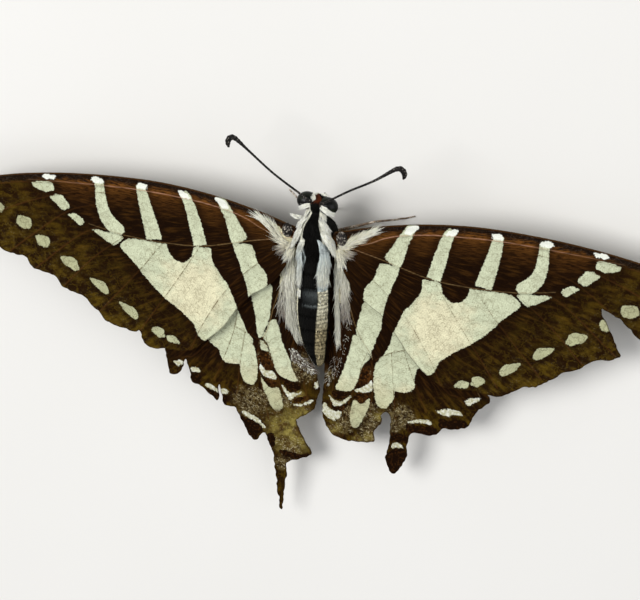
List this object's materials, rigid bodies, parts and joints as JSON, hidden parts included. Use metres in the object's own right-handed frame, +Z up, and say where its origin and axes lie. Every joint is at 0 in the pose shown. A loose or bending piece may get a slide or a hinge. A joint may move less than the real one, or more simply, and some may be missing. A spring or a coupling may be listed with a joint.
{
  "type": "spot swordtail butterfly",
  "caption": "Still life-size spot swordtail butterfly standing with worn, tailed wings spread flat, black with pale green-white bands and spots.",
  "frame": {"origin": "middle of the object's footprint, on the floor that its feet stand on", "axes": "+X towards the butterfly's right wing tip, +Y towards its head, +Z up"},
  "size_m": [0.0888, 0.0484, 0.0095],
  "materials": {
    "body": "matt black with grey-white fur",
    "wing": "scaled, dark brown with pale green-white bands",
    "eye": "glossy",
    "antenna": "satin",
    "palp": "furred",
    "leg": "scaled"
  },
  "bodies": {
    "root": {"head": "body", "thorax": "body", "abdomen": "body", "proboscis": "antenna", "eye_left": "eye", "antenna_left": "antenna", "palp_left": "palp", "foreleg_left": "leg", "midleg_left": "leg", "hindleg_left": "leg", "forewing_left": "wing", "hindwing_left": "wing", "eye_right": "eye", "antenna_right": "antenna", "palp_right": "palp", "foreleg_right": "leg", "midleg_right": "leg", "hindleg_right": "leg", "forewing_right": "wing", "hindwing_right": "wing"}
  },
  "joints": []
}
